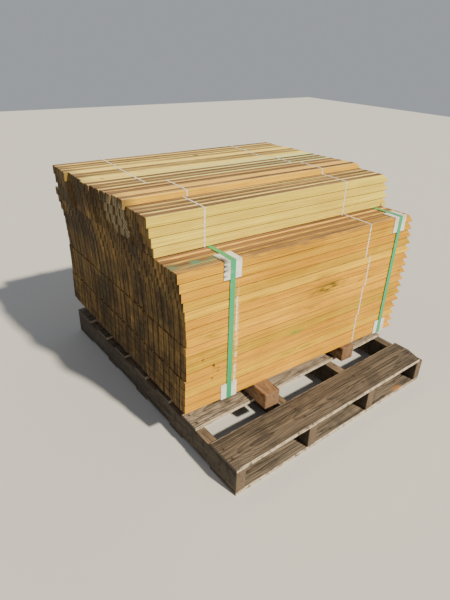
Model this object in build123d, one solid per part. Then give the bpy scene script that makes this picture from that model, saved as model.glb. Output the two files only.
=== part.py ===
"""A strapped stack of small tied bundles of square pine studs, standing on two bearers on a pallet.

Millimetres, +Z up. The studs run along X, their mitred ends at +X. The front of the stack faces -Y.
The origin is the middle of the pallet's underside, on the floor. The pallet is turned a little under
the stack, and everything above it is set out from the stack's front, left and lowest corner.
"""
from build123d import *
import math
import os

# One stud: square sawn, cut square at the left end and mitred at the right end
STUD_LENGTH = 1066.8
STUD_SIDE = 31.75
THICK_STUD_SIDE = 32.75
MITRE_ANGLE = 45.0

# One small bundle: studs in rows, tied round with two flat twines
STUDS_WIDE = 4
STUDS_HIGH = 4
ROW_GAP = 0.3
SIDE_GAP = 3.3
UPPER_SIDE_GAP = 1.0
TWINE_WIDTH = 5.0
TWINE_THICKNESS = 0.6
TWINE_PLAY = 0.1

# The lower stack: the two front columns are of thinner studs than the others
LAYERS = 4
COLUMN_STUD_SIDES = (STUD_SIDE,) * 2 + (THICK_STUD_SIDE,) * 5
COLUMN_GAP = 3.3
UPPER_COLUMN_GAP = 1.6

# Hand stacking: how far a layer or an upper bundle stands to the right, how its rows step as they
# rise, and how each stud stands against the one in front of it
LAYER_SHIFT = (-6.0, 9.0, 12.0, 4.0)
LAYER_STEP = (1.0, 0.0, -1.5, -6.0)
STACK_SKEW = -0.9
UPPER_SHIFT = (-22.0, -34.0, -58.0, -66.0, -78.0)
UPPER_STEP = (-6.0, -6.0, -5.0, -4.0, -5.0)
UPPER_SKEW = (0.0, -5.0, -3.0, 0.0, 0.0)

# Where the twines go round: left and right, for each lower layer and for each upper bundle
LAYER_TWINES = ((200.0, 808.0), (183.0, 816.0), (200.0, 826.0), (183.0, 800.0))
UPPER_TWINES = ((160.0, 781.0), (176.0, 785.0), (100.0, 750.0), (103.0, 716.0), (109.0, 729.0))
TWINE_WANDER = (0.0, 6.0, 12.0, 3.0, 9.0)

# The upper layer stands back from the front, so that a ledge shows
LEDGE = 128.0

# Two plastic straps round the lower stack, over an angle guard on each long edge
STRAP_WIDTH = 19.0
STRAP_THICKNESS = 1.0
STRAP_SPOTS = (179.0, 968.0)
GUARD_LEG = 60.0
GUARD_THICKNESS = 2.0
GUARD_LENGTH = 65.0

# Two square bearers between the pallet and the stack, running front to back
BEARER_SIDE = 63.5
BEARER_LENGTH = STUD_LENGTH
BEARER_LEFT_FACES = (292.0, 740.0)
BEARER_FRONTS = (-72.0, -18.0)

# The pallet: four stringers on edge between two decks of boards
PALLET_WIDTH = 1016.0
PALLET_DEPTH = 1219.2
STRINGERS = 4
STRINGER_WIDTH = 38.1
STRINGER_HEIGHT = 88.9
BOARD_THICKNESS = 12.7
LEAD_BOARD_WIDTH = 139.7
INNER_BOARD_WIDTH = 88.9
TOP_INNER_BOARDS = 5
BOTTOM_INNER_BOARDS = 3

# The corner that is broken off the front top board: along the board and across it
CHIP_LENGTH = 24.0
CHIP_WIDTH = 70.0

# How the pallet lies under the stack: its turn, and its front left corner seen from the stack's corner
PALLET_TURN = 3.1
PALLET_CORNER = (46.0, -240.0)

# Sizes that follow
PALLET_HEIGHT = STRINGER_HEIGHT + 2 * BOARD_THICKNESS
STACK_BASE = PALLET_HEIGHT + BEARER_SIDE
LAYER_GAP = 2 * TWINE_THICKNESS + 2 * TWINE_PLAY
UPPER_GAP = STRAP_THICKNESS + 2 * TWINE_THICKNESS + TWINE_PLAY


def bundle_width(side, side_gap):
    """How wide a small bundle of studs of this side is."""
    return STUDS_WIDE * side + (STUDS_WIDE - 1) * side_gap


def bundle_height(side):
    """How high a small bundle of studs of this side is."""
    return STUDS_HIGH * side + (STUDS_HIGH - 1) * ROW_GAP


def column_height(side):
    """How high a full column of the lower stack is."""
    return LAYERS * bundle_height(side) + (LAYERS - 1) * LAYER_GAP


def fronts_of(sides, side_gap, column_gap, first):
    """The front face of each column when columns of these stud sides stand one behind another."""
    fronts = [first]
    for side in sides[:-1]:
        fronts.append(fronts[-1] + bundle_width(side, side_gap) + column_gap)
    return fronts


COLUMN_FRONTS = fronts_of(COLUMN_STUD_SIDES, SIDE_GAP, COLUMN_GAP, 0.0)
UPPER_STUD_SIDES = COLUMN_STUD_SIDES[1:1 + len(UPPER_SHIFT)]
UPPER_FRONTS = fronts_of(UPPER_STUD_SIDES, UPPER_SIDE_GAP, UPPER_COLUMN_GAP, LEDGE)
FRONT_HEIGHT = column_height(COLUMN_STUD_SIDES[0])
BACK_HEIGHT = column_height(COLUMN_STUD_SIDES[-1])
STACK_DEPTH = COLUMN_FRONTS[-1] + bundle_width(COLUMN_STUD_SIDES[-1], SIDE_GAP)
UPPER_BACK = UPPER_FRONTS[-1] + bundle_width(UPPER_STUD_SIDES[-1], UPPER_SIDE_GAP)


def stack_corner():
    """The stack's front, left and lowest corner, from the middle of the pallet's underside."""
    pallet_corner = Vector(-PALLET_WIDTH / 2, -PALLET_DEPTH / 2).rotate(Axis.Z, PALLET_TURN)
    offset_x, offset_y = PALLET_CORNER
    return Pos(pallet_corner.X - offset_x, pallet_corner.Y - offset_y, STACK_BASE)


def stud(side):
    """One stud along +X from the origin, the mitre's long edge below."""
    mitre_run = side * math.tan(math.radians(MITRE_ANGLE))
    with BuildSketch(Plane.XZ) as side_view:
        with BuildLine():
            Polyline(
                (0, 0),
                (STUD_LENGTH, 0),
                (STUD_LENGTH - mitre_run, side),
                (0, side),
                close=True,
            )
        make_face()
    return extrude(side_view.sketch, amount=-side)


def small_bundle(side, side_gap, step, skew):
    """The studs of a small bundle from its front, left and lowest corner, stepped by row and by stud."""
    one = stud(side)
    return [
        Pos(row * step + column * skew, column * (side + side_gap), row * (side + ROW_GAP)) * one
        for row in range(STUDS_HIGH)
        for column in range(STUDS_WIDE)
    ]


def twine(side, side_gap):
    """One flat twine round a small bundle, centred on X = 0."""
    width = bundle_width(side, side_gap)
    height = bundle_height(side)
    with BuildSketch(Plane.YZ) as section:
        with Locations((width / 2, height / 2)):
            Rectangle(width + 2 * TWINE_THICKNESS, height + 2 * TWINE_THICKNESS)
            Rectangle(width, height, mode=Mode.SUBTRACT)
    return extrude(section.sketch, amount=TWINE_WIDTH / 2, both=True)


def twines(side, side_gap, spots, front, base, wander=0.0):
    """The two twines of a small bundle, both moved along it by the same wander."""
    loop = twine(side, side_gap)
    return [Pos(spot + wander, front, base) * loop for spot in spots]


def guard():
    """One angle guard over the stack's front top edge, centred on X = 0, a twine's thickness clear."""
    outer = GUARD_THICKNESS
    with BuildSketch(Plane.YZ) as section:
        with BuildLine():
            Polyline(
                (0, 0),
                (GUARD_LEG, 0),
                (GUARD_LEG, outer),
                (-outer, outer),
                (-outer, -GUARD_LEG),
                (0, -GUARD_LEG),
                close=True,
            )
        make_face()
    angle = extrude(section.sketch, amount=GUARD_LENGTH / 2, both=True)
    return Pos(0, -TWINE_THICKNESS, TWINE_THICKNESS) * angle


def guards(spot):
    """The four guards under one strap: front top, front bottom, back top and back bottom."""
    front_top = guard()
    front_bottom = front_top.mirror(Plane.XY)
    back_top = front_top.mirror(Plane.XZ)
    back_bottom = front_bottom.mirror(Plane.XZ)
    return [
        Pos(spot, 0, FRONT_HEIGHT) * front_top,
        Pos(spot, 0, 0) * front_bottom,
        Pos(spot, STACK_DEPTH, BACK_HEIGHT) * back_top,
        Pos(spot, STACK_DEPTH, 0) * back_bottom,
    ]


def strap(spot):
    """One strap: taut over the guards, and pressed flat on top where the upper bundles stand on it."""
    out = TWINE_THICKNESS + GUARD_THICKNESS
    flat = TWINE_THICKNESS
    thin_columns = COLUMN_STUD_SIDES.count(STUD_SIDE)
    rise_front = COLUMN_FRONTS[thin_columns] - COLUMN_GAP
    rise_back = COLUMN_FRONTS[thin_columns]
    inside = [
        (-out, -out),
        (-out, FRONT_HEIGHT + out),
        (GUARD_LEG, FRONT_HEIGHT + out),
        (LEDGE, FRONT_HEIGHT + flat),
        (rise_front, FRONT_HEIGHT + flat),
        (rise_back, BACK_HEIGHT + flat),
        (UPPER_BACK, BACK_HEIGHT + flat),
        (STACK_DEPTH - GUARD_LEG, BACK_HEIGHT + out),
        (STACK_DEPTH + out, BACK_HEIGHT + out),
        (STACK_DEPTH + out, -out),
    ]
    loop = make_face(Polyline(*inside, close=True))
    band = offset(loop, amount=STRAP_THICKNESS, kind=Kind.INTERSECTION) - loop
    upright = Plane.YZ * band
    return Pos(spot - STRAP_WIDTH / 2, 0, 0) * extrude(upright, amount=STRAP_WIDTH, dir=(1, 0, 0))


def bearer(left_face, front):
    """One square bearer, its top against the stack's underside."""
    return Pos(left_face, front, -BEARER_SIDE) * Box(
        BEARER_SIDE, BEARER_LENGTH, BEARER_SIDE, align=Align.MIN
    )


def deck(inner_boards, base):
    """The boards of one deck, a wide one at each end and the others evenly between them."""
    widths = [LEAD_BOARD_WIDTH] + [INNER_BOARD_WIDTH] * inner_boards + [LEAD_BOARD_WIDTH]
    gap = (PALLET_DEPTH - sum(widths)) / (len(widths) - 1)
    front = -PALLET_DEPTH / 2
    boards = []
    for width in widths:
        board = Box(PALLET_WIDTH, width, BOARD_THICKNESS, align=(Align.CENTER, Align.MIN, Align.MIN))
        boards.append(Pos(0, front, base) * board)
        front += width + gap
    return boards


def chipped(board):
    """The front top board with its front right corner broken off."""
    corner = (PALLET_WIDTH / 2, -PALLET_DEPTH / 2)
    chip = make_face(Polyline(
        corner,
        (corner[0], corner[1] + CHIP_WIDTH),
        (corner[0] - CHIP_LENGTH, corner[1]),
        close=True,
    ))
    return board - extrude(chip, amount=PALLET_HEIGHT, dir=(0, 0, 1))


def stringers():
    """The stringers, evenly spaced, the outer ones flush with the ends of the boards."""
    pitch = (PALLET_WIDTH - STRINGER_WIDTH) / (STRINGERS - 1)
    beam = Box(STRINGER_WIDTH, PALLET_DEPTH, STRINGER_HEIGHT, align=(Align.MIN, Align.CENTER, Align.MIN))
    return [Pos(-PALLET_WIDTH / 2 + index * pitch, 0, BOARD_THICKNESS) * beam for index in range(STRINGERS)]


def pallet_nodes():
    """The pallet's pieces by name, turned under the stack."""
    top_boards = deck(TOP_INNER_BOARDS, PALLET_HEIGHT - BOARD_THICKNESS)
    top_boards[0] = chipped(top_boards[0])
    groups = {
        "pallet_stringer": stringers(),
        "pallet_top_board": top_boards,
        "pallet_bottom_board": deck(BOTTOM_INNER_BOARDS, 0.0),
    }
    turn = Rot(0, 0, PALLET_TURN)
    return {
        f"{name}_{number}": [turn * piece]
        for name, pieces in groups.items()
        for number, piece in enumerate(pieces, 1)
    }


def lower_nodes():
    """The bundles and twines of the lower stack by name."""
    nodes = {}
    for layer in range(LAYERS):
        ties = []
        for column, (side, front) in enumerate(zip(COLUMN_STUD_SIDES, COLUMN_FRONTS)):
            base = layer * (bundle_height(side) + LAYER_GAP)
            shift = LAYER_SHIFT[layer] + column * STUDS_WIDE * STACK_SKEW
            studs = small_bundle(side, SIDE_GAP, LAYER_STEP[layer], STACK_SKEW)
            name = f"lower_bundle_layer_{layer + 1}_column_{column + 1}"
            nodes[name] = [Pos(shift, front, base) * piece for piece in studs]
            wander = TWINE_WANDER[(2 * column + layer) % len(TWINE_WANDER)] if column else 0.0
            ties += twines(side, SIDE_GAP, LAYER_TWINES[layer], front, base, wander)
        nodes[f"lower_string_ties_layer_{layer + 1}"] = ties
    return nodes


def upper_nodes():
    """The bundles and twines of the upper layer by name."""
    nodes = {}
    ties = []
    for column, (side, front) in enumerate(zip(UPPER_STUD_SIDES, UPPER_FRONTS)):
        base = column_height(side) + UPPER_GAP
        studs = small_bundle(side, UPPER_SIDE_GAP, UPPER_STEP[column], UPPER_SKEW[column])
        nodes[f"upper_bundle_{column + 1}"] = [
            Pos(UPPER_SHIFT[column], front, base) * piece for piece in studs
        ]
        ties += twines(side, UPPER_SIDE_GAP, UPPER_TWINES[column], front, base)
    nodes["upper_string_ties"] = ties
    return nodes


def load_nodes():
    """Everything above the pallet by name, in place."""
    nodes = {**lower_nodes(), **upper_nodes()}
    for side, spot in zip(("left", "right"), STRAP_SPOTS):
        nodes[f"strap_{side}"] = [strap(spot)]
        nodes[f"corner_protectors_{side}"] = guards(spot)
    for side, left_face, front in zip(("left", "right"), BEARER_LEFT_FACES, BEARER_FRONTS):
        nodes[f"bearer_{side}"] = [bearer(left_face, front)]
    corner = stack_corner()
    return {name: [corner * piece for piece in pieces] for name, pieces in nodes.items()}


os.makedirs("parts", exist_ok=True)
for node_name, pieces in {**pallet_nodes(), **load_nodes()}.items():
    shape = pieces[0] if len(pieces) == 1 else Compound(children=pieces)
    export_step(shape, f"parts/{node_name}.step")
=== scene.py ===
import math
import random

import bmesh
import bpy
from mathutils import Matrix, Vector


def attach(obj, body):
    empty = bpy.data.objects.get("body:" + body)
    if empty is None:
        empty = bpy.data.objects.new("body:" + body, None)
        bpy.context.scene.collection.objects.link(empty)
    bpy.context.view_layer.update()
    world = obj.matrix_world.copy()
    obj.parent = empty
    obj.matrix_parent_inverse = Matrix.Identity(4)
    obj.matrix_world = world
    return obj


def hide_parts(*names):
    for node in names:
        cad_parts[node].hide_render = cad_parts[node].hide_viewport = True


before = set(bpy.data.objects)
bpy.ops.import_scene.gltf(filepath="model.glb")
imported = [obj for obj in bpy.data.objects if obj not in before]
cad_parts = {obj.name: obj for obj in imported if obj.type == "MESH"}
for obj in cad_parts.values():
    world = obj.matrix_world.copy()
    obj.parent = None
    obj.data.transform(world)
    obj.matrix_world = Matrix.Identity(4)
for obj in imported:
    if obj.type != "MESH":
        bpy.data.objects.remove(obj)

# Metres, in the model's own frame: +Z up, the front of the stack faces -Y, the studs run along X.
# The stack's front, left and lowest corner, from which the camera's place was worked out.
STACK_CORNER = Vector((-0.5203, -0.3962, 0.1778))

# The camera, as found from the photograph: its place from the stack's corner, its angles, its lens,
# and how far it sees
CAMERA_FROM_CORNER = Vector((-0.5830, -1.0356, 1.0809))
CAMERA_PITCH = math.radians(28.56)
CAMERA_YAW = math.radians(35.43)
CAMERA_ROLL = math.radians(-1.64)
FOCAL_PIXELS = 470.66
PHOTO_HEIGHT_PIXELS = 600
SENSOR_HEIGHT_MM = 36.0
CAMERA_REACH = 60.0

# The studio: a sun from the front and above, a little to the right, a pale sky and a pale floor
SUN_STRENGTH = 7.0
SUN_WIDTH = math.radians(3.0)
SUN_COLOUR = (1.0, 0.90, 0.70)
SUN_DIRECTION = Vector((-0.20, 0.76, -0.74))
SKY_COLOUR = (0.86, 0.90, 0.96, 1.0)
SKY_STRENGTH = 0.42
FLOOR_COLOUR = (0.56, 0.55, 0.53, 1.0)
FLOOR_ROUGHNESS = 0.9
FLOOR_HALF_SIZE = 9.0

# Wear on the edges of sawn timber, how much a sawn left end may fall short of its fellows,
# and how much shorter the bottom layer's left ends are cut
STUD_EDGE = 0.0012
BOARD_EDGE = 0.0016
BEARER_EDGE = 0.0020
LOWER_END_TRIM = 0.0030
BOTTOM_LAYER_CUT = 0.0085
UPPER_END_TRIM = 0.0055

# When a CAD node's copy is merged, how near two points are one, and how flat two faces are one
SAME_POINT = 1e-6
SAME_FACE = math.radians(1.0)

# Telling studs apart: the step by which the columns of a bundle are told apart,
# and how near its front or its top a stud of the foremost column or the top row lies
COLUMN_STEP = 0.012
NEAR_FRONT = 0.012
NEAR_TOP = 0.020

# How much of a left end's trim goes with its column, and how much is its own
COLUMN_SHARE = 0.8
OWN_SHARE = 0.2

# How much painted shade darkens a stud's side close to its left end: in the open, in a step of the top row,
# or between others
IN_THE_OPEN = 0.0
IN_A_STEP = 0.85
BETWEEN_OTHERS = 1.0

# The pallet's turn under the stack, and where its nails are: over each stringer,
# on either side of a board's middle
PALLET_TURN = math.radians(3.1)
STRINGER_SPACING = 0.326
NAIL_FROM_MIDDLE = 0.023

# Tones of the boards that show: the front top board is darker than the one behind it.
KNOWN_TONES = {"pallet_top_board_1": 0.20, "pallet_top_board_2": 1.70, "pallet_bottom_board_1": 0.42}

# The studs' specular level, and the seed of what differs from piece to piece
STUD_SPECULAR = 0.15
SEED = 4

# Colours of the studs, from seam to knot. The seam colours, the side colour near the end between other studs
# and the gap colour are painted shade; the old end's colours are partly painted shade, and the ring colours
# partly painted light
GREEN_TINGE = (0.50, 0.70, 0.30, 1.0)
SEAM_SHADE_BROWN = (0.10, 0.045, 0.012, 1.0)
INNER_SIDE_SHADE = (0.150, 0.095, 0.042, 1.0)
TOP_SEAM_SHADE_BROWN = (0.10, 0.06, 0.03, 1.0)
MITRE_BROWN = (0.30, 0.185, 0.085, 1.0)
OLD_SHADED_END_LIGHT = (0.330, 0.195, 0.055, 1.0)
OLD_SHADED_END_DARK = (0.080, 0.046, 0.015, 1.0)
END_LINE_BROWN = (0.045, 0.028, 0.012, 1.0)
END_DAMP = (0.018, 0.012, 0.008, 1.0)
END_MOSS = (0.085, 0.085, 0.030, 1.0)
GAP_SHADE_BLACK = (0.012, 0.008, 0.005, 1.0)
RING_LIGHT = (0.330, 0.275, 0.165, 1.0)
RING_DARK = (0.070, 0.054, 0.030, 1.0)
KNOT_BROWN = (0.12, 0.05, 0.015, 1.0)

# Colours of the pallet's checks and nails, and of plastic and twine
CHECK_BLACK = (0.016, 0.012, 0.009, 1.0)
NAIL_RUST = (0.055, 0.028, 0.016, 1.0)
NAIL_BLACK = (0.018, 0.013, 0.012, 1.0)
STRAP_GREEN = (0.024, 0.345, 0.140, 1.0)
DUSTY_GREEN = (0.140, 0.400, 0.200, 1.0)
GUARD_WHITE = (0.78, 0.78, 0.74, 1.0)
GUARD_DUST = (0.40, 0.35, 0.27, 1.0)
GUARD_SPECKS = (0.06, 0.05, 0.04, 1.0)
TWINE_WHITE = (0.92, 0.90, 0.83, 1.0)
TWINE_SHADE = (0.72, 0.69, 0.60, 1.0)
TWINE_DIRT = (0.42, 0.36, 0.26, 1.0)
TWINE_GAP = (0.16, 0.125, 0.085, 1.0)

# Stain colours that come more than once
DAMP_BROWN = (0.030, 0.019, 0.009, 1.0)
SPOT_BROWN = (0.03, 0.018, 0.010, 1.0)

# Stains on the lower stack's front: x and z of the centre, half width and height, colour and strength
FRONT_FACE = -0.396
STAIN_DEPTH = 0.050
FRONT_STAINS = [
    (0.090, 0.489, 0.125, 0.030, (0.11, 0.080, 0.010, 1.0), 1.00),
    (-0.044, 0.341, 0.042, 0.014, (0.12, 0.26, 0.03, 1.0), 0.90),
    (-0.400, 0.455, 0.060, 0.018, (0.26, 0.17, 0.01, 1.0), 0.75),
    (0.005, 0.425, 0.075, 0.012, (0.22, 0.12, 0.01, 1.0), 0.75),
    (0.079, 0.535, 0.085, 0.016, (0.20, 0.10, 0.01, 1.0), 0.70),
    (-0.037, 0.262, 0.100, 0.014, (0.16, 0.13, 0.01, 1.0), 0.70),
    (-0.435, 0.397, 0.050, 0.016, (0.24, 0.18, 0.01, 1.0), 0.65),
    (-0.268, 0.538, 0.110, 0.014, (0.26, 0.12, 0.01, 1.0), 0.50),
    (-0.050, 0.690, 0.480, 0.013, (0.20, 0.115, 0.055, 1.0), 0.80),
    (-0.446, 0.372, 0.006, 0.010, SPOT_BROWN, 1.00),
    (-0.395, 0.320, 0.020, 0.007, SPOT_BROWN, 1.00),
    (-0.404, 0.334, 0.007, 0.010, SPOT_BROWN, 1.00),
    (-0.386, 0.306, 0.010, 0.006, SPOT_BROWN, 1.00),
    (-0.410, 0.285, 0.007, 0.006, SPOT_BROWN, 1.00),
    (-0.316, 0.400, 0.009, 0.240, (0.92, 0.74, 0.42, 1.0), 0.70),
]

# All other stains have their centre, half sizes, colour and strength.
LEDGE_STAIN = ((-0.455, -0.350, 0.694), (0.130, 0.030, 0.050), (0.09, 0.22, 0.14, 1.0), 0.85)
LOWER_STAINS = [
    ((x, FRONT_FACE, z), (half_width, STAIN_DEPTH, half_height), colour, strength)
    for x, z, half_width, half_height, colour, strength in FRONT_STAINS
] + [LEDGE_STAIN]
END_STAINS_AND_SHADOW = [
    ((-0.545, -0.030, 0.675), (0.120, 0.085, 0.085), DAMP_BROWN, 0.90),
    ((-0.520, 0.012, 0.330), (0.100, 0.050, 0.170), DAMP_BROWN, 0.90),
    ((-0.520, 0.210, 0.300), (0.100, 0.170, 0.170), (0.036, 0.023, 0.010, 1.0), 0.75),
    ((-0.560, 0.270, 0.560), (0.120, 0.060, 0.200), DAMP_BROWN, 0.80),
    ((-0.540, -0.200, 0.620), (0.100, 0.025, 0.080), DAMP_BROWN, 0.80),
    # The last is a painted shadow under the overhanging left end of the second upper bundle
    ((-0.535, -0.085, 0.698), (0.100, 0.085, 0.014), (0.010, 0.007, 0.005, 1.0), 1.00),
]
UPPER_STAINS = [
    ((-0.041, 0.301, 0.845), (0.020, 0.012, 0.050), (0.06, 0.03, 0.02, 1.0), 0.90),
]
SPLIT_STAINS = [
    ((0.400, -0.578, 0.010), (0.055, 0.014, 0.030), (0.42, 0.17, 0.04, 1.0), 0.75),
]
GUARD_STAINS = [
    ((-0.386, -0.398, 0.676), (0.034, 0.110, 0.100), (0.06, 0.050, 0.036, 1.0), 1.0),
    ((-0.380, -0.400, 0.690), (0.030, 0.070, 0.040), (0.03, 0.026, 0.020, 1.0), 1.0),
]

# The left end of the second upper bundle is paler, as painted light where it stands out past the bundle
# below, and its growth rings run on from stud to stud:
# the middle and half sizes of the paler place, the rings' heart in Y and Z, and their spacing
LIT_RINGED_END = (-0.556, -0.078, 0.778)
LIT_RINGED_SIZE = (0.080, 0.072, 0.070)
RING_HEART = (0.0, -0.148, 0.805)
RING_SPACING = 0.0120

# Kinds of socket of the node groups
FLOAT = "NodeSocketFloat"
VECTOR = "NodeSocketVector"
COLOUR = "NodeSocketColor"

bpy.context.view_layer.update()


# Node helpers

def add(tree, kind, values=None, **settings):
    """One node in a tree. Each value is a plain number or colour, or another node's output."""
    made = tree.nodes.new(kind)
    for name, value in settings.items():
        setattr(made, name, value)
    for name, value in (values or {}).items():
        if isinstance(value, bpy.types.NodeSocket):
            tree.links.new(value, made.inputs[name])
        else:
            made.inputs[name].default_value = value
    return made


def math_of(tree, operation, first, second=0.0, clamp=False):
    """The output of a Math node."""
    return add(tree, "ShaderNodeMath", {0: first, 1: second},
               operation=operation, use_clamp=clamp).outputs[0]


def product_of(tree, first, second):
    """The product of two numbers."""
    return math_of(tree, "MULTIPLY", first, second)


def range_of(tree, value, low, high, to_low=0.0, to_high=1.0):
    """A value moved from one range to another, without going past its ends."""
    return add(tree, "ShaderNodeMapRange", {
        "Value": value, "From Min": low, "From Max": high, "To Min": to_low, "To Max": to_high,
    }).outputs["Result"]


def vector_of(tree, operation, first, second):
    """The vector that a Vector Math node puts out."""
    return add(tree, "ShaderNodeVectorMath", {0: first, 1: second}, operation=operation).outputs["Vector"]


def length_of(tree, vector):
    """The length of a vector."""
    return add(tree, "ShaderNodeVectorMath", {0: vector}, operation="LENGTH").outputs["Value"]


def reach_of(tree, place, centre, size):
    """How far a place is from a centre, as a share of the half sizes."""
    offset = vector_of(tree, "SUBTRACT", place, centre)
    return length_of(tree, vector_of(tree, "DIVIDE", offset, size))


def own_place(tree, place, tone, stride):
    """A place moved by a piece's own tone, so that no two pieces show the same pattern."""
    return vector_of(tree, "ADD", place, product_of(tree, tone, stride))


def parts_of(tree, vector):
    """The X, Y and Z of a vector."""
    return add(tree, "ShaderNodeSeparateXYZ", {0: vector}).outputs


def vector_from(tree, **parts):
    """A vector from its X, Y and Z."""
    return add(tree, "ShaderNodeCombineXYZ", parts).outputs[0]


def noise_of(tree, place, scale, detail, roughness=0.5, distortion=0.0):
    """The value of a Noise Texture."""
    return add(tree, "ShaderNodeTexNoise", {
        "Vector": place, "Scale": scale, "Detail": detail, "Roughness": roughness,
        "Distortion": distortion}).outputs["Fac"]


def season_of(tree, level, heart, spacing, waver, waviness):
    """How far through its year's growth each place is, from 0 to 1, in rings round a heart."""
    reach = add(tree, "ShaderNodeVectorMath", {0: level, 1: heart}, operation="DISTANCE").outputs["Value"]
    turns = math_of(tree, "DIVIDE", reach, spacing)
    return math_of(tree, "FRACT", math_of(tree, "ADD", turns, product_of(tree, waver, waviness)))


def blend_of(tree, share, first, second):
    """A mix of two colours."""
    return add(tree, "ShaderNodeMix", {0: share, 6: first, 7: second}, data_type="RGBA").outputs[2]


def laid_over(tree, colour, mask, strength, layer):
    """A colour with another laid over it, as far as a mask and a strength let it."""
    return blend_of(tree, product_of(tree, mask, strength), colour, layer)


def adjusted(tree, colour, values):
    """A colour with its hue, saturation or value changed."""
    return add(tree, "ShaderNodeHueSaturation", {"Color": colour, **values}).outputs[0]


def bump_of(tree, height, strength, distance):
    """A normal from a height."""
    return add(tree, "ShaderNodeBump", {
        "Height": height, "Strength": strength, "Distance": distance}).outputs[0]


def new_group(name, inputs, outputs):
    """A shader node group with named sockets: the group, what it is given, and its output node."""
    group = bpy.data.node_groups.new(name, "ShaderNodeTree")
    for in_out, sockets in (("INPUT", inputs), ("OUTPUT", outputs)):
        for label, kind in sockets.items():
            group.interface.new_socket(name=label, in_out=in_out, socket_type=kind)
    return group, group.nodes.new("NodeGroupInput").outputs, group.nodes.new("NodeGroupOutput")


def put_out(group, out, results):
    """A group that puts out its results."""
    for name, value in results.items():
        group.links.new(value, out.inputs[name])
    return group


def use_group(tree, group, values):
    """What a group, placed in a tree with its own values, puts out."""
    return add(tree, "ShaderNodeGroup", values, node_tree=group).outputs


# Effects that the materials and the larger groups use

def make_wood_grain():
    """Streaks along the wood's length, with fine pores."""
    group, given, out = new_group(
        "wood_grain", {"Place": VECTOR, "Tone": FLOAT, "Along": FLOAT, "Across": FLOAT},
        {"Streaks": FLOAT, "Height": FLOAT})
    spread = vector_from(group, X=given["Along"], Y=given["Across"], Z=given["Across"])
    stretched = vector_of(group, "MULTIPLY", given["Place"], spread)
    moved = own_place(group, stretched, given["Tone"], stride=317.0)
    streaks = noise_of(group, moved, scale=1.0, detail=5.0, roughness=0.62, distortion=0.5)
    pores = noise_of(group, moved, scale=4.2, detail=3.0, roughness=0.6)
    height = math_of(group, "ADD", product_of(group, streaks, 0.6), product_of(group, pores, 0.4))
    return put_out(group, out, {"Streaks": range_of(group, streaks, 0.36, 0.66), "Height": height})


def make_growth_lines():
    """Growth lines round a heart that wanders beside the piece: long on its sides, ringed on its ends."""
    group, given, out = new_group(
        "growth_lines", {"Place": VECTOR, "Tone": FLOAT, "Spacing": FLOAT}, {"Lines": FLOAT})
    along = product_of(group, parts_of(group, given["Place"])["X"], 1.6)
    course = vector_from(group, X=along, Y=product_of(group, given["Tone"], 71.0))
    drift = add(group, "ShaderNodeTexNoise", {
        "Vector": course, "Scale": 1.0, "Detail": 2.0}).outputs["Color"]
    swing = vector_of(group, "MULTIPLY", drift, (0.0, 0.10, 0.10))
    heart = vector_of(group, "ADD", swing, (0.0, -0.055, -0.085))
    level = vector_of(group, "MULTIPLY", given["Place"], (0.0, 1.0, 1.0))
    waver = noise_of(group, level, scale=70.0, detail=2.0)
    season = season_of(group, level, heart, given["Spacing"], waver, waviness=0.6)
    return put_out(group, out, {"Lines": range_of(group, season, 0.35, 0.95)})


def make_smudge():
    """One stain at a given place, broken up as finely in each direction as its material says."""
    group, given, out = new_group(
        "smudge", {"Place": VECTOR, "Centre": VECTOR, "Size": VECTOR, "Fineness": VECTOR}, {"Mask": FLOAT})
    reach = reach_of(group, given["Place"], given["Centre"], given["Size"])
    streaky = vector_of(group, "MULTIPLY", given["Place"], given["Fineness"])
    broken = noise_of(group, streaky, scale=1.0, detail=4.0)
    mask = product_of(group, range_of(group, reach, 1.0, 0.35), range_of(group, broken, 0.38, 0.60))
    return put_out(group, out, {"Mask": mask})


def make_cracks():
    """Thin dark checks that run along weathered timber."""
    group, given, out = new_group(
        "cracks", {"Place": VECTOR, "Tone": FLOAT, "Width": FLOAT}, {"Mask": FLOAT})
    stretched = vector_of(group, "MULTIPLY", given["Place"], (2.2, 62.0, 62.0))
    moved = own_place(group, stretched, given["Tone"], stride=133.0)
    field = noise_of(group, moved, scale=1.0, detail=3.0, roughness=0.55)
    away = math_of(group, "ABSOLUTE", math_of(group, "SUBTRACT", field, 0.52))
    return put_out(group, out, {"Mask": range_of(group, away, given["Width"], 0.0)})


def make_grime():
    """Soft uneven dirt in patches and specks, as a mask."""
    group, given, out = new_group(
        "grime", {"Place": VECTOR, "Size": FLOAT, "Amount": FLOAT}, {"Mask": FLOAT})
    cloud = noise_of(group, given["Place"], scale=given["Size"], detail=6.0, roughness=0.68)
    edge = math_of(group, "SUBTRACT", 0.78, product_of(group, given["Amount"], 0.45))
    far_edge = math_of(group, "ADD", edge, 0.16)
    return put_out(group, out, {"Mask": range_of(group, cloud, edge, far_edge)})


WOOD_GRAIN = make_wood_grain()
GROWTH_LINES = make_growth_lines()
SMUDGE = make_smudge()
CRACKS = make_cracks()
GRIME = make_grime()


def grime_of(tree, place, size, amount):
    """The mask of some grime."""
    return use_group(tree, GRIME, {"Place": place, "Size": size, "Amount": amount})["Mask"]


def figure_of(tree, given, along, across, streaks, spacing, lines):
    """A piece's figure: its growth lines, its height, and its light and dark colours blended."""
    own = {"Place": given["Place"], "Tone": given["Tone"]}
    grain = use_group(tree, WOOD_GRAIN, {**own, "Along": along, "Across": across})
    growth = use_group(tree, GROWTH_LINES, {**own, "Spacing": spacing})["Lines"]
    share = math_of(tree, "ADD", product_of(tree, grain["Streaks"], streaks),
                    product_of(tree, growth, lines), clamp=True)
    return growth, grain["Height"], blend_of(tree, share, given["Light"], given["Dark"])


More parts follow.
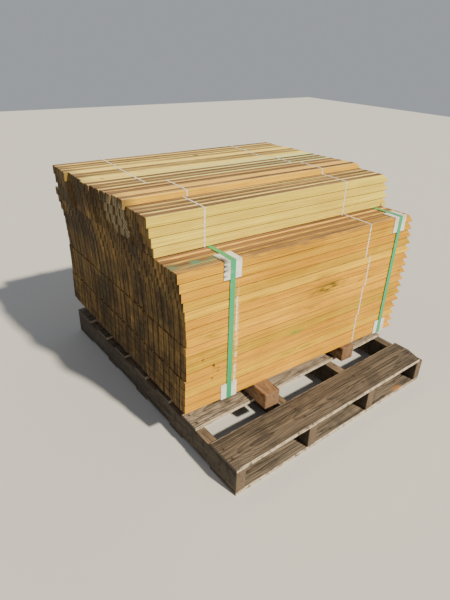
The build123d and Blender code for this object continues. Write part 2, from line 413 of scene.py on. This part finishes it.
def smudged(tree, colour, place, smudges, fineness=(18.0, 18.0, 120.0)):
    """A colour with stains laid over it."""
    for centre, size, stain, strength in smudges:
        mask = use_group(tree, SMUDGE, {
            "Place": place, "Centre": centre, "Size": size, "Fineness": fineness})["Mask"]
        colour = laid_over(tree, colour, mask, strength, stain)
    return colour


# The studs' faces and the old timber, as groups

def make_sawn_side():
    """Sawn pine of a stud's side: its figure, a slow blush, painted shade in the seams above and below, and
    painted shade near its left end between other studs.
    """
    group, given, out = new_group(
        "sawn_side",
        {"Place": VECTOR, "Stack Place": VECTOR, "From End": FLOAT, "To Seam": FLOAT, "Tone": FLOAT,
         "Wear": FLOAT, "Inner Shade": FLOAT, "Green": FLOAT, "Light": COLOUR, "Dark": COLOUR},
        {"Colour": COLOUR, "Lines": FLOAT, "Height": FLOAT})
    from_end = given["From End"]
    lines, height, side = figure_of(
        group, given, along=3.5, across=240.0, streaks=0.50, spacing=0.0042, lines=0.42)
    side = adjusted(group, side, {
        "Value": range_of(group, given["Tone"], 0.0, 1.0, 0.80, 1.12),
        "Hue": range_of(group, given["Wear"], 0.0, 1.0, 0.492, 0.514)})
    blush = grime_of(group, given["Stack Place"], size=3.2, amount=0.72)
    side = laid_over(group, side, blush, 0.22, given["Dark"])
    side = laid_over(group, side, range_of(group, from_end, 0.05, 0.9), given["Green"], GREEN_TINGE)
    # Painted shade in the seams above and below the side
    side = laid_over(group, side, range_of(group, given["To Seam"], 0.90, 0.975), 0.88, SEAM_SHADE_BROWN)
    # Painted shade on the side close to its left end, where other studs hide it from the light
    side = laid_over(group, side, range_of(group, from_end, 0.05, 0.01), given["Inner Shade"], INNER_SIDE_SHADE)
    return put_out(group, out, {"Colour": side, "Lines": lines, "Height": height})


def make_weathered_top():
    """A stud's upper face: greyed in streaks, with a painted highlight along its front arris and painted
    shade beside its neighbours.
    """
    group, given, out = new_group(
        "weathered_top",
        {"Place": VECTOR, "Across": FLOAT, "Tone": FLOAT, "Wear": FLOAT, "Wear Shift": FLOAT,
         "Side": COLOUR, "Light": COLOUR, "Grey Light": COLOUR, "Grey Dark": COLOUR},
        {"Colour": COLOUR})
    tone, across = given["Tone"], given["Across"]
    stretched = vector_of(group, "MULTIPLY", given["Place"], (2.6, 190.0, 60.0))
    moved = own_place(group, stretched, tone, stride=97.0)
    streak = noise_of(group, moved, scale=1.0, detail=4.0, roughness=0.6)
    exposed = math_of(group, "ADD", product_of(group, streak, 0.9), product_of(group, given["Wear"], 1.05))
    greyed = range_of(group, math_of(group, "ADD", exposed, given["Wear Shift"]), 0.78, 0.98)
    # A painted highlight along the front arris
    arris = product_of(
        group, range_of(group, across, -0.38, -0.66), range_of(group, tone, 0.25, 0.65, 0.15, 1.0))
    beyond_arris_highlight = math_of(group, "SUBTRACT", 1.0, product_of(group, arris, 0.9))
    grey = blend_of(group, range_of(group, streak, 0.40, 0.62), given["Grey Light"], given["Grey Dark"])
    bright = adjusted(group, given["Light"], {"Value": 1.0, "Saturation": 0.85})
    bright_share = math_of(group, "ADD", product_of(group, arris, 0.4), 0.45)
    top = blend_of(group, bright_share, given["Side"], bright)
    top = laid_over(group, top, greyed, beyond_arris_highlight, grey)
    # Painted shade on the top beside its neighbours
    beside = range_of(group, math_of(group, "ABSOLUTE", across), 0.95, 0.99)
    return put_out(group, out, {"Colour": laid_over(group, top, beside, 0.7, TOP_SEAM_SHADE_BROWN)})


def ringed_with_painted_light(tree, colour, place):
    """A colour with the end of the second upper bundle laid over it: growth rings, made paler as painted
    light.
    """
    level = vector_of(tree, "MULTIPLY", place, (0.0, 1.0, 1.0))
    waver = noise_of(tree, level, scale=28.0, detail=2.0)
    season = season_of(tree, level, RING_HEART, RING_SPACING, waver, waviness=1.6)
    rings = blend_of(tree, range_of(tree, season, 0.30, 0.90), RING_LIGHT, RING_DARK)
    reach = reach_of(tree, place, LIT_RINGED_END, LIT_RINGED_SIZE)
    uneven = math_of(tree, "ADD", reach, math_of(tree, "SUBTRACT", waver, 0.5))
    # The paler patch is painted light on the end that stands out
    return laid_over(tree, colour, range_of(tree, uneven, 1.05, 0.80), 0.85, rings)


def old_end_with_shade(tree, given):
    """The old left end of a stud, dark partly with age and partly as painted shade: streaked, damp and
    mossy, with painted shade in the gaps to its neighbours.
    """
    place = given["Stack Place"]
    stretched = vector_of(tree, "MULTIPLY", place, (1.0, 110.0, 6.0))
    drips = noise_of(tree, stretched, scale=1.0, detail=4.0, roughness=0.65)
    damp = grime_of(tree, place, size=4.6, amount=0.86)
    moss = grime_of(tree, place, size=11.0, amount=0.60)
    # The end's colours: partly its age, partly painted shade on the left ends
    end = blend_of(tree, range_of(tree, drips, 0.38, 0.60), OLD_SHADED_END_LIGHT, OLD_SHADED_END_DARK)
    end = laid_over(tree, end, given["Lines"], 0.25, END_LINE_BROWN)
    end = laid_over(tree, end, damp, 0.80, END_DAMP)
    end = laid_over(tree, end, moss, 0.45, END_MOSS)
    # Painted shade at the end's edges, in the gaps to its neighbours
    beside = math_of(tree, "ABSOLUTE", given["Across"])
    end = laid_over(tree, end, range_of(tree, beside, 0.88, 0.99), 0.60, GAP_SHADE_BLACK)
    end = laid_over(tree, end, range_of(tree, given["To Seam"], 0.95, 0.99), 0.15, GAP_SHADE_BLACK)
    end = adjusted(tree, end, {"Value": range_of(tree, given["Tone"], 0.0, 1.0, 0.93, 1.08)})
    # Damp stains, and a painted shadow under the second upper bundle
    end = smudged(tree, end, place, END_STAINS_AND_SHADOW, fineness=(18.0, 85.0, 12.0))
    return ringed_with_painted_light(tree, end, place)


def make_stud_ends():
    """A stud's colour with its mitred end and its old sawn end (dark partly as painted shade) laid over it,
    and less saturated and darker at the back as painted shade.
    """
    group, given, out = new_group(
        "stud_ends",
        {"Colour": COLOUR, "Normal": VECTOR, "Stack Place": VECTOR, "Lines": FLOAT, "Across": FLOAT,
         "To Seam": FLOAT, "Tone": FLOAT, "Light": COLOUR, "Dark": COLOUR},
        {"Colour": COLOUR})
    facing = parts_of(group, given["Normal"])
    fresh_cut = blend_of(group, given["Lines"], given["Light"], given["Dark"])
    mitred = blend_of(group, 0.55, fresh_cut, MITRE_BROWN)
    colour = blend_of(group, range_of(group, facing["X"], 0.5, 0.65), given["Colour"], mitred)
    shaded_old_end = old_end_with_shade(group, given)
    colour = blend_of(group, range_of(group, facing["X"], -0.45, -0.65), colour, shaded_old_end)
    # Painted shade: faces turned to the back are less saturated and darker
    shaded_at_back = adjusted(group, colour, {
        "Saturation": range_of(group, facing["Y"], 0.30, 0.80, 1.0, 0.74),
        "Value": range_of(group, facing["Y"], 0.30, 0.80, 1.0, 0.80)})
    return put_out(group, out, {"Colour": shaded_at_back})


def make_knots():
    """Small dark knots, here and there in the studs."""
    group, given, out = new_group("knots", {"Place": VECTOR, "Tone": FLOAT}, {"Mask": FLOAT})
    moved = own_place(group, given["Place"], given["Tone"], stride=53.0)
    away = add(group, "ShaderNodeTexVoronoi", {"Vector": moved, "Scale": 6.0}).outputs["Distance"]
    return put_out(group, out, {"Mask": product_of(group, range_of(group, away, 0.055, 0.030), 0.7)})


def make_weathered_timber():
    """Old rough timber: its figure, grime, pale chipped edges, checks, painted shade on its sides and darker
    cut ends.
    """
    group, given, out = new_group(
        "weathered_timber",
        {"Place": VECTOR, "Reach": VECTOR, "Tone": FLOAT, "Side Shade": FLOAT,
         "Light": COLOUR, "Dark": COLOUR, "Dirt": COLOUR, "Pale": COLOUR},
        {"Colour": COLOUR, "Roughness": FLOAT, "Height": FLOAT})
    place, tone = given["Place"], given["Tone"]
    reach = parts_of(group, given["Reach"])
    beside = math_of(group, "ABSOLUTE", reach["Y"])
    lines, grain_height, colour = figure_of(
        group, given, along=2.6, across=185.0, streaks=0.66, spacing=0.0055, lines=0.36)
    colour = adjusted(group, colour, {"Value": range_of(group, tone, 0.0, 2.0, 0.66, 2.34)})
    dirt = grime_of(group, place, size=7.0, amount=0.62)
    colour = laid_over(group, colour, dirt, 0.65, given["Dirt"])
    chips = grime_of(group, place, size=45.0, amount=0.95)
    chipped = product_of(group, range_of(group, beside, 0.93, 0.985), chips)
    colour = laid_over(group, colour, chipped, 0.75, given["Pale"])
    checks = use_group(group, CRACKS, {"Place": place, "Tone": tone, "Width": 0.015})["Mask"]
    colour = laid_over(group, colour, checks, 0.85, CHECK_BLACK)
    # Painted shade darkening the piece's sides
    side = product_of(group, range_of(group, beside, 0.90, 0.97), given["Side Shade"])
    colour = adjusted(group, colour, {"Value": math_of(group, "SUBTRACT", 1.0, side)})
    cut_end = blend_of(group, 0.4, given["Light"], given["Dark"])
    cut_end = laid_over(group, cut_end, lines, 0.8, given["Dark"])
    colour = blend_of(group, range_of(group, reach["X"], 0.0016, 0.0004), colour, cut_end)
    ridges = product_of(group, math_of(group, "SUBTRACT", 1.0, lines), 0.5)
    height = math_of(group, "ADD", math_of(group, "SUBTRACT", grain_height, checks), ridges)
    roughness = range_of(group, grain_height, 0.3, 0.7, 0.72, 0.92)
    return put_out(group, out, {"Colour": colour, "Roughness": roughness, "Height": height})


SAWN_SIDE = make_sawn_side()
WEATHERED_TOP = make_weathered_top()
STUD_ENDS = make_stud_ends()
KNOTS = make_knots()
WEATHERED_TIMBER = make_weathered_timber()


# Materials

def new_material(name):
    """An empty material, its tree and its main shader."""
    material = bpy.data.materials.new(name)
    material.use_nodes = True
    tree = material.node_tree
    return material, tree, tree.nodes["Principled BSDF"]


def cover(tree, shader, colour, roughness, normal=None):
    """Feeds a surface's colour, roughness and normal to its main shader."""
    tree.links.new(colour, shader.inputs["Base Color"])
    tree.links.new(roughness, shader.inputs["Roughness"])
    if normal is not None:
        tree.links.new(normal, shader.inputs["Normal"])


def attribute_of(tree, name, output="Fac"):
    """An attribute that make_studs or make_board wrote on a piece."""
    return add(tree, "ShaderNodeAttribute", attribute_name=name).outputs[output]


def object_place(tree):
    """The place in the model's own frame."""
    return add(tree, "ShaderNodeTexCoord").outputs["Object"]


def stud_wood(name, light, dark, grey_light, grey_dark, smudges, wear_shift, green=0.0):
    """Pine of the studs: sawn sides, greyed tops, old sawn ends made dark partly as painted shade, and paler
    mitred ones.
    """
    material, tree, shader = new_material(name)
    place = attribute_of(tree, "stud_place", "Vector")
    reach = parts_of(tree, attribute_of(tree, "stud_reach", "Vector"))
    tone = attribute_of(tree, "stud_tone")
    wear = attribute_of(tree, "stud_wear")
    stack_place = object_place(tree)
    normal = add(tree, "ShaderNodeNewGeometry").outputs["Normal"]
    # Where the seams' painted shade falls: below every stud, and above every stud but a crowned one
    below_crown = math_of(tree, "SUBTRACT", 1.0, attribute_of(tree, "stud_crown"))
    upper_seam = product_of(tree, reach["Z"], below_crown)
    to_seam = math_of(tree, "MAXIMUM", product_of(tree, reach["Z"], -1.0), upper_seam)

    sides = use_group(tree, SAWN_SIDE, {
        "Place": place, "Stack Place": stack_place, "From End": reach["X"], "To Seam": to_seam,
        "Tone": tone, "Wear": wear, "Inner Shade": attribute_of(tree, "stud_inner"), "Green": green,
        "Light": light, "Dark": dark})
    side = smudged(tree, sides["Colour"], stack_place, smudges)
    top = use_group(tree, WEATHERED_TOP, {
        "Place": place, "Across": reach["Y"], "Tone": tone, "Wear": wear, "Wear Shift": wear_shift,
        "Side": side, "Light": light, "Grey Light": grey_light, "Grey Dark": grey_dark})["Colour"]
    top = smudged(tree, top, stack_place, smudges)
    upward = parts_of(tree, normal)["Z"]
    colour = blend_of(tree, range_of(tree, upward, 0.73, 0.90), side, top)
    colour = use_group(tree, STUD_ENDS, {
        "Colour": colour, "Normal": normal, "Stack Place": stack_place, "Lines": sides["Lines"],
        "Across": reach["Y"], "To Seam": to_seam, "Tone": tone, "Light": light, "Dark": dark})["Colour"]
    knots = use_group(tree, KNOTS, {"Place": place, "Tone": tone})["Mask"]
    colour = blend_of(tree, knots, colour, KNOT_BROWN)

    shader.inputs["Specular IOR Level"].default_value = STUD_SPECULAR
    cover(tree, shader, colour, range_of(tree, sides["Height"], 0.3, 0.7, 0.60, 0.84),
          bump_of(tree, sides["Height"], strength=0.5, distance=0.0010))
    return material


def nailed(tree, colour, place):
    """A board's colour with rusted nail heads laid over it, where it crosses the stringers."""
    spot = parts_of(tree, place)
    from_pair = math_of(tree, "SUBTRACT", math_of(tree, "ABSOLUTE", spot["X"]), STRINGER_SPACING)
    along = math_of(tree, "SUBTRACT", math_of(tree, "ABSOLUTE", from_pair), STRINGER_SPACING / 2)
    across = math_of(tree, "SUBTRACT", math_of(tree, "ABSOLUTE", spot["Y"]), NAIL_FROM_MIDDLE)
    away = length_of(tree, vector_from(tree, X=along, Y=across))
    colour = laid_over(tree, colour, range_of(tree, away, 0.013, 0.003), 0.55, NAIL_RUST)
    return blend_of(tree, range_of(tree, away, 0.0038, 0.0028), colour, NAIL_BLACK)


def old_wood(name, light, dark, dirt, pale, nails=False, smudges=(), side_shade=0.0):
    """Weathered timber, with rusted nails in the boards."""
    material, tree, shader = new_material(name)
    place = attribute_of(tree, "piece_place", "Vector")
    timber = use_group(tree, WEATHERED_TIMBER, {
        "Place": place, "Reach": attribute_of(tree, "piece_reach", "Vector"),
        "Tone": attribute_of(tree, "piece_tone"), "Side Shade": side_shade,
        "Light": light, "Dark": dark, "Dirt": dirt, "Pale": pale})
    colour = timber["Colour"]
    if nails:
        colour = nailed(tree, colour, place)
    if smudges:
        colour = smudged(tree, colour, object_place(tree), smudges)
    cover(tree, shader, colour, timber["Roughness"],
          bump_of(tree, timber["Height"], strength=0.9, distance=0.0028))
    return material


def strap_plastic():
    """Glossy green strapping with a fine pressed pattern of cells."""
    material, tree, shader = new_material("green_strapping")
    place = object_place(tree)
    cells = add(tree, "ShaderNodeTexVoronoi", {"Vector": place, "Scale": 420.0}).outputs["Distance"]
    dust = grime_of(tree, place, size=26.0, amount=0.5)
    colour = blend_of(tree, dust, STRAP_GREEN, DUSTY_GREEN)
    cover(tree, shader, colour, range_of(tree, dust, 0.0, 1.0, 0.28, 0.5),
          bump_of(tree, cells, strength=0.25, distance=0.0004))
    return material


def guard_plastic():
    """White plastic of the corner protectors, dusty, specked and stained."""
    material, tree, shader = new_material("white_protector_plastic")
    place = object_place(tree)
    dust = grime_of(tree, place, size=18.0, amount=0.7)
    specks = grime_of(tree, place, size=150.0, amount=0.42)
    colour = laid_over(tree, GUARD_WHITE, dust, 0.55, GUARD_DUST)
    colour = blend_of(tree, specks, colour, GUARD_SPECKS)
    colour = smudged(tree, colour, place, GUARD_STAINS)
    cover(tree, shader, colour, range_of(tree, dust, 0.0, 1.0, 0.38, 0.7))
    return material


def twine_fibre():
    """Flat white twine with slanting strands."""
    material, tree, shader = new_material("white_flat_twine")
    place = object_place(tree)
    slant = add(tree, "ShaderNodeMapping", {"Vector": place, "Rotation": (0.5, 0.5, 0.6)}).outputs[0]
    strands = add(tree, "ShaderNodeTexWave", {
        "Vector": slant, "Scale": 260.0, "Distortion": 1.5}).outputs["Fac"]
    turns = add(tree, "ShaderNodeTexWave", {
        "Vector": place, "Scale": 42.0, "Distortion": 2.5}, bands_direction="DIAGONAL").outputs["Fac"]
    colour = blend_of(tree, strands, TWINE_WHITE, TWINE_SHADE)
    colour = laid_over(tree, colour, grime_of(tree, place, size=20.0, amount=0.6), 0.5, TWINE_DIRT)
    colour = laid_over(tree, colour, range_of(tree, turns, 0.84, 0.95), 0.55, TWINE_GAP)
    cover(tree, shader, colour, range_of(tree, strands, 0.0, 1.0, 0.6, 0.85),
          bump_of(tree, strands, strength=0.5, distance=0.0004))
    return material


# Pieces

def merged_copy(node):
    """A bmesh of a CAD node with its triangles joined and its flat faces made whole."""
    mesh = bmesh.new()
    mesh.from_mesh(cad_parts[node].data)
    bmesh.ops.remove_doubles(mesh, verts=mesh.verts, dist=SAME_POINT)
    bmesh.ops.dissolve_limit(mesh, angle_limit=SAME_FACE, verts=mesh.verts, edges=mesh.edges)
    return mesh


def solids_of(mesh):
    """The separate solids in a bmesh, as lists of vertices."""
    unseen = set(mesh.verts)
    solids = []
    for start in mesh.verts:
        if start not in unseen:
            continue
        unseen.discard(start)
        found, waiting = [], [start]
        while waiting:
            vert = waiting.pop()
            found.append(vert)
            for edge in vert.link_edges:
                other = edge.other_vert(vert)
                if other in unseen:
                    unseen.discard(other)
                    waiting.append(other)
        solids.append(found)
    return solids


def worn_edges(mesh, width):
    """Rounds every edge of the timber a little."""
    bmesh.ops.bevel(mesh, geom=mesh.edges[:], offset=width, offset_type="OFFSET", affect="EDGES",
                    segments=1, profile=0.5, material=-1, clamp_overlap=True)


def new_object(name, mesh, material):
    """An object in the scene, made from a bmesh."""
    data = bpy.data.meshes.new(name)
    mesh.to_mesh(data)
    mesh.free()
    data.materials.append(material)
    made = bpy.data.objects.new(name, data)
    bpy.context.scene.collection.objects.link(made)
    return made


def finish_piece(name, mesh, material, node):
    """Makes a bmesh a piece that stands for a CAD node and rides on the object."""
    piece = new_object(name, mesh, material)
    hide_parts(node)
    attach(piece, "root")


def middle_of(values):
    """The mean of some numbers."""
    values = list(values)
    return sum(values) / len(values)


def ragged_ends(mesh, trim, cut, chance):
    """Cuts the studs' left ends a little short, much alike down each column of a bundle."""
    columns = {}
    for solid in solids_of(mesh):
        centre = middle_of(vert.co.x for vert in solid)
        column = round(middle_of(vert.co.y for vert in solid) / COLUMN_STEP)
        shared = columns.setdefault(column, chance.random())
        short = cut + trim * (COLUMN_SHARE * shared + OWN_SHARE * chance.random())
        for vert in solid:
            if vert.co.x < centre:
                vert.co.x += short


def straightened(solid):
    """A stud's places as if it lay straight round its middle, its left end's X and Y, and its middle's Z."""
    low_x = min(vert.co.x for vert in solid)
    high_x = max(vert.co.x for vert in solid)
    centre_x = (low_x + high_x) / 2
    left_y = middle_of(vert.co.y for vert in solid if vert.co.x < centre_x)
    right_y = middle_of(vert.co.y for vert in solid if vert.co.x >= centre_x)
    centre_z = (min(vert.co.z for vert in solid) + max(vert.co.z for vert in solid)) / 2
    places = {}
    for vert in solid:
        course = left_y + (right_y - left_y) * (vert.co.x - low_x) / (high_x - low_x)
        places[vert] = Vector((vert.co.x - centre_x, vert.co.y - course, vert.co.z - centre_z))
    return places, low_x, left_y, centre_z


def make_studs(node, material, trim, cut, chance):
    """The sixteen studs of a small bundle, each with its own tone and its own place for the grain."""
    mesh = merged_copy(node)
    ragged_ends(mesh, trim, cut, chance)
    worn_edges(mesh, STUD_EDGE)
    layers = mesh.verts.layers
    place_layer, reach_layer = [
        layers.float_vector.new(name) for name in ("stud_place", "stud_reach")]
    tone_layer, wear_layer, inner_shade_layer, crown_layer = [
        layers.float.new(name) for name in ("stud_tone", "stud_wear", "stud_inner", "stud_crown")]
    front = min(vert.co.y for vert in mesh.verts)
    top = max(vert.co.z for vert in mesh.verts)
    front_column = node.endswith("column_1") or node == "upper_bundle_1"
    top_row_open = node.startswith("upper_bundle")
    crowned = top_row_open or node == "lower_bundle_layer_4_column_1"
    for solid in solids_of(mesh):
        places, low_x, left_y, centre_z = straightened(solid)
        half_y = max(place.y for place in places.values())
        half_z = max(place.z for place in places.values())
        tone = chance.random()
        wear = chance.random()
        foremost = left_y - half_y < front + NEAR_FRONT
        topmost = centre_z > top - NEAR_TOP
        # How much painted shade the side gets close to its left end
        if foremost and front_column:
            inner_shade = IN_THE_OPEN
        elif foremost and top_row_open and topmost:
            inner_shade = IN_A_STEP
        else:
            inner_shade = BETWEEN_OTHERS
        for vert, place in places.items():
            vert[place_layer] = place
            vert[reach_layer] = Vector((vert.co.x - low_x, place.y / half_y, place.z / half_z))
            vert[tone_layer] = tone
            vert[wear_layer] = wear
            vert[inner_shade_layer] = inner_shade
            vert[crown_layer] = 1.0 if crowned and topmost else 0.0
    finish_piece(f"studs_{node}", mesh, material, node)


def make_board(node, material, edge, tone, turn):
    """A board, stringer or bearer with worn edges, its own tone, and its grain along its own length."""
    mesh = merged_copy(node)
    worn_edges(mesh, edge)
    place_layer = mesh.verts.layers.float_vector.new("piece_place")
    reach_layer = mesh.verts.layers.float_vector.new("piece_reach")
    tone_layer = mesh.verts.layers.float.new("piece_tone")
    lay_along = Matrix.Rotation(-turn, 3, "Z")
    laid = {vert: lay_along @ vert.co for vert in mesh.verts}
    low = Vector([min(place[i] for place in laid.values()) for i in range(3)])
    high = Vector([max(place[i] for place in laid.values()) for i in range(3)])
    half = (high - low) / 2
    for vert, place in laid.items():
        off = place - (low + high) / 2
        vert[place_layer] = off
        vert[reach_layer] = Vector((half.x - abs(off.x), off.y / half.y, off.z / half.z))
        vert[tone_layer] = tone
    finish_piece(f"worn_{node}", mesh, material, node)


def dress(node, material):
    """A CAD node that keeps its shape and gets its material."""
    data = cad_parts[node].data
    data.materials.clear()
    data.materials.append(material)


# Camera, floor and light

def make_camera():
    """The camera at the photograph's place and angle."""
    ahead_level = Vector((math.sin(CAMERA_YAW), math.cos(CAMERA_YAW), 0.0))
    right = Vector((math.cos(CAMERA_YAW), -math.sin(CAMERA_YAW), 0.0))
    ahead = math.cos(CAMERA_PITCH) * ahead_level - math.sin(CAMERA_PITCH) * Vector((0.0, 0.0, 1.0))
    down = ahead.cross(right)
    rolled_right = math.cos(CAMERA_ROLL) * right + math.sin(CAMERA_ROLL) * down
    rolled_down = math.cos(CAMERA_ROLL) * down - math.sin(CAMERA_ROLL) * right
    turn = Matrix((rolled_right, -rolled_down, -ahead)).transposed().to_4x4()
    data = bpy.data.cameras.new("photo_camera")
    data.sensor_fit = "VERTICAL"
    data.sensor_height = SENSOR_HEIGHT_MM
    data.lens = FOCAL_PIXELS * SENSOR_HEIGHT_MM / PHOTO_HEIGHT_PIXELS
    data.clip_end = CAMERA_REACH
    camera = bpy.data.objects.new("photo_camera", data)
    camera.matrix_world = Matrix.Translation(STACK_CORNER + CAMERA_FROM_CORNER) @ turn
    bpy.context.scene.collection.objects.link(camera)
    bpy.context.scene.camera = camera


def make_floor():
    """A plain pale floor."""
    material, _, shader = new_material("pale_floor")
    shader.inputs["Base Color"].default_value = FLOOR_COLOUR
    shader.inputs["Roughness"].default_value = FLOOR_ROUGHNESS
    mesh = bmesh.new()
    bmesh.ops.create_grid(mesh, x_segments=1, y_segments=1, size=FLOOR_HALF_SIZE)
    new_object("floor", mesh, material)


def make_light():
    """A soft sun and a pale sky all round."""
    sun = bpy.data.lights.new("key_light", "SUN")
    sun.energy = SUN_STRENGTH
    sun.angle = SUN_WIDTH
    sun.color = SUN_COLOUR
    sun_object = bpy.data.objects.new("key_light", sun)
    sun_object.rotation_euler = SUN_DIRECTION.to_track_quat("-Z", "Y").to_euler()
    bpy.context.scene.collection.objects.link(sun_object)
    world = bpy.data.worlds.new("pale_sky")
    world.use_nodes = True
    sky = world.node_tree.nodes["Background"]
    sky.inputs["Color"].default_value = SKY_COLOUR
    sky.inputs["Strength"].default_value = SKY_STRENGTH
    bpy.context.scene.world = world


lower_pine = stud_wood(
    "golden_pine", light=(0.92, 0.492, 0.028, 1.0), dark=(0.21, 0.074, 0.005, 1.0),
    grey_light=(0.33, 0.175, 0.070, 1.0), grey_dark=(0.100, 0.053, 0.030, 1.0),
    smudges=LOWER_STAINS, wear_shift=0.20)

# The upper bundles weathered alike. Only their pine differs, and the third turns greener to the right.
UPPER_AGE = {"grey_light": (0.30, 0.175, 0.085, 1.0), "grey_dark": (0.070, 0.042, 0.028, 1.0),
             "smudges": UPPER_STAINS, "wear_shift": 0.05}
PALE_PINE = {"light": (0.97, 0.735, 0.120, 1.0), "dark": (0.42, 0.23, 0.022, 1.0)}
AMBER_PINE = {"light": (0.93, 0.56, 0.060, 1.0), "dark": (0.36, 0.155, 0.014, 1.0)}
upper_pine = stud_wood("pale_pine", **PALE_PINE, **UPPER_AGE)
special_pines = {
    "upper_bundle_2": stud_wood("amber_pine", **AMBER_PINE, **UPPER_AGE),
    "upper_bundle_3": stud_wood("green_tinged_pine", **PALE_PINE, **UPPER_AGE, green=1.0),
}

board_wood = old_wood(
    "weathered_board", light=(0.215, 0.165, 0.115, 1.0), dark=(0.016, 0.011, 0.008, 1.0),
    dirt=(0.036, 0.027, 0.020, 1.0), pale=(0.66, 0.55, 0.40, 1.0), nails=True, smudges=SPLIT_STAINS)
# The stringers' sides get painted shade
stringer_wood = old_wood(
    "weathered_stringer", light=(0.24, 0.170, 0.105, 1.0), dark=(0.050, 0.032, 0.020, 1.0),
    dirt=(0.055, 0.040, 0.028, 1.0), pale=(0.50, 0.38, 0.24, 1.0), side_shade=0.82)
bearer_wood = old_wood(
    "brown_bearer", light=(0.34, 0.195, 0.10, 1.0), dark=(0.13, 0.070, 0.036, 1.0),
    dirt=(0.075, 0.045, 0.026, 1.0), pale=(0.46, 0.28, 0.15, 1.0))
strap_finish = strap_plastic()
guard_finish = guard_plastic()
twine_finish = twine_fibre()

chance = random.Random(SEED)
for node in sorted(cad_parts):
    if node.startswith("lower_bundle"):
        cut = BOTTOM_LAYER_CUT if "layer_1" in node else 0.0
        make_studs(node, lower_pine, LOWER_END_TRIM, cut, chance)
    elif node.startswith("upper_bundle"):
        make_studs(node, special_pines.get(node, upper_pine), UPPER_END_TRIM, 0.0, chance)
    elif node.startswith("pallet_stringer"):
        turn = PALLET_TURN + math.pi / 2
        make_board(node, stringer_wood, BOARD_EDGE, chance.random(), turn)
    elif node.startswith("pallet"):
        tone = KNOWN_TONES.get(node, chance.random())
        make_board(node, board_wood, BOARD_EDGE, tone, PALLET_TURN)
    elif node.startswith("bearer"):
        make_board(node, bearer_wood, BEARER_EDGE, chance.random(), math.pi / 2)
    elif node.startswith("strap"):
        dress(node, strap_finish)
    elif node.startswith("corner_protectors"):
        dress(node, guard_finish)
    else:
        dress(node, twine_finish)

make_floor()
make_light()
make_camera()
